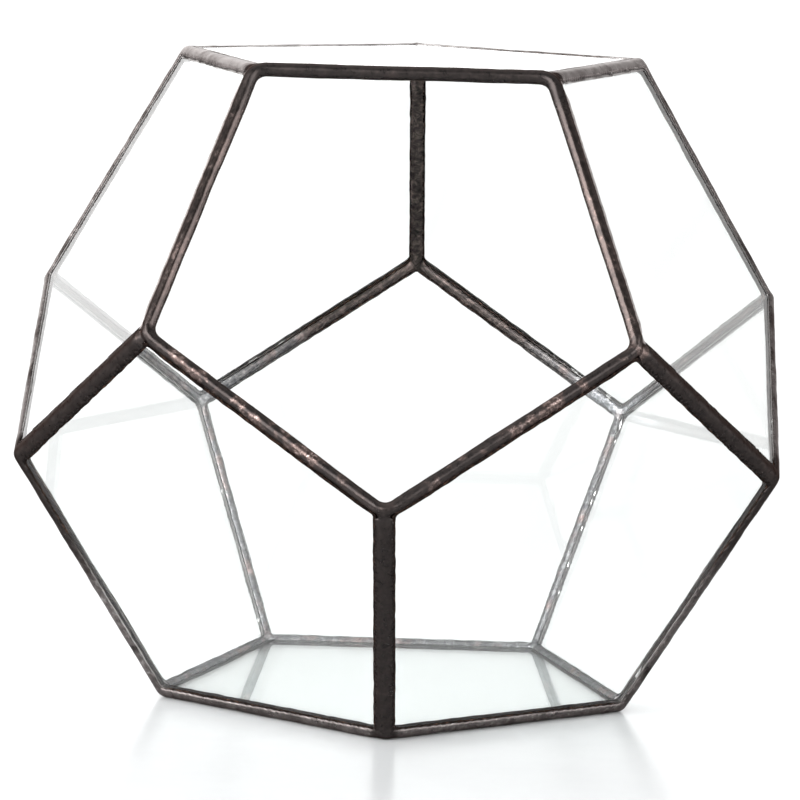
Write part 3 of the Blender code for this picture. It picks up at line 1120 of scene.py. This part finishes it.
def build_world():
    """White studio: seen white all round, but dimmer at the front in what the metal reflects."""
    world = bpy.data.worlds.new("studio")
    bpy.context.scene.world = world
    world.use_nodes = True
    studio = Nodes(world.node_tree, "World Output", "Generated")
    front = studio.fit(studio.axis("Y"), -0.25, 0.4, 0.35, 1.2, "SMOOTHSTEP")
    side = studio.fit(studio.axis("X"), -0.45, 0.35, 2.35, 0.8)
    far_left = studio.fit(studio.axis("X"), -0.6, -0.3, 0.5, 1.0)
    strength = studio.product(far_left, side, front)
    dim = studio.add("Background", {"Color": WHITE, "Strength": strength})
    sky = studio.nodes["Background"]
    studio.feed(sky.inputs["Color"], WHITE)
    studio.feed(sky.inputs["Strength"], STUDIO_WHITE)
    rays = studio.add("LightPath").outputs
    seen = studio.most(rays["Is Camera Ray"], rays["Is Transmission Ray"])
    studio.surface(seen, dim.outputs["Background"], sky.outputs["Background"])


def soft_light(name, place, target, size, power):
    """A rectangular studio softbox that points at a target."""
    data = bpy.data.lights.new(name, "AREA")
    data.shape = "RECTANGLE"
    data.size, data.size_y = size
    data.energy = power
    light = bpy.data.objects.new(name, data)
    light.location = place
    light.rotation_mode = "QUATERNION"
    light.rotation_quaternion = (Vector(target) - Vector(place)).to_track_quat("-Z", "Y")
    bpy.context.scene.collection.objects.link(light)


def build_lights():
    """A large softbox overhead and a low one on each side, the left one brighter."""
    soft_light("overhead", (0, 0.1, 1.0), (0, 0, 0.05), (1.6, 1.2), 2)
    soft_light("left", (-0.6, -0.6, 0.45), (0, 0, 0.08), (1.05, 0.62), 18)
    soft_light("left_low", (-0.83, -0.1, 0.12), (0, 0, 0.08), (0.5, 0.3), 2.5)
    soft_light("right", (0.56, -0.6, 0.4), (0, 0, 0.08), (0.8, 0.5), 7)
    soft_light("right_low", (0.83, -0.1, 0.12), (0, 0, 0.08), (0.5, 0.3), 1.8)


CAMERA_PLACE = (0.0336, -0.9922, 0.2078)
CAMERA_TURN = 1.9589  # degrees to the right of the front
CAMERA_DOWN = 7.956  # degrees that it looks down
CAMERA_ROLL = 1.4838
CAMERA_LENS = 192.5
CAMERA_SENSOR = 36


def build_camera():
    """The camera at the photograph's angle."""
    turn = math.radians(CAMERA_TURN)
    down = math.radians(CAMERA_DOWN)
    roll = math.radians(CAMERA_ROLL)
    flat = math.cos(down)
    back = Vector((math.sin(turn) * flat, -math.cos(turn) * flat, math.sin(down)))
    right = (-back).cross(Vector((0, 0, 1))).normalized()
    up = right.cross(-back)
    rolled_right = right * math.cos(roll) + up * math.sin(roll)
    rolled_up = up * math.cos(roll) - right * math.sin(roll)
    data = bpy.data.cameras.new("camera")
    data.lens = CAMERA_LENS
    data.sensor_width = CAMERA_SENSOR
    data.clip_start = 0.01
    data.clip_end = 50
    camera = bpy.data.objects.new("camera", data)
    axes = Matrix((rolled_right, rolled_up, back)).transposed().to_4x4()
    camera.matrix_world = Matrix.Translation(CAMERA_PLACE) @ axes
    bpy.context.scene.collection.objects.link(camera)
    bpy.context.scene.camera = camera


def build_object():
    """The solder, the foil, and the materials of the nodes that stay."""
    outside = outside_solder(patina_look())
    inside = inside_solder(bright_look())
    seams = [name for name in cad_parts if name.startswith("seam_")]
    rims = [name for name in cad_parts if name.startswith("rim_")]
    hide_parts(*seams, *rims)
    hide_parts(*seams)
    foil = foil_look(False)
    rim_foil = foil_look(True)
    glass = glass_look()
    for name in NAMES:
        if name != MOUTH:
            foil_piece(name, rim_foil if name in UPPER_SIDES else foil)
            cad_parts["pane_" + name].material_slots[0].material = glass
    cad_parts["mouth_wire"].material_slots[0].material = wire_look()


build_camera()
build_world()
build_lights()
build_floor()
build_object()
bpy.context.scene.view_settings.view_transform = "Standard"
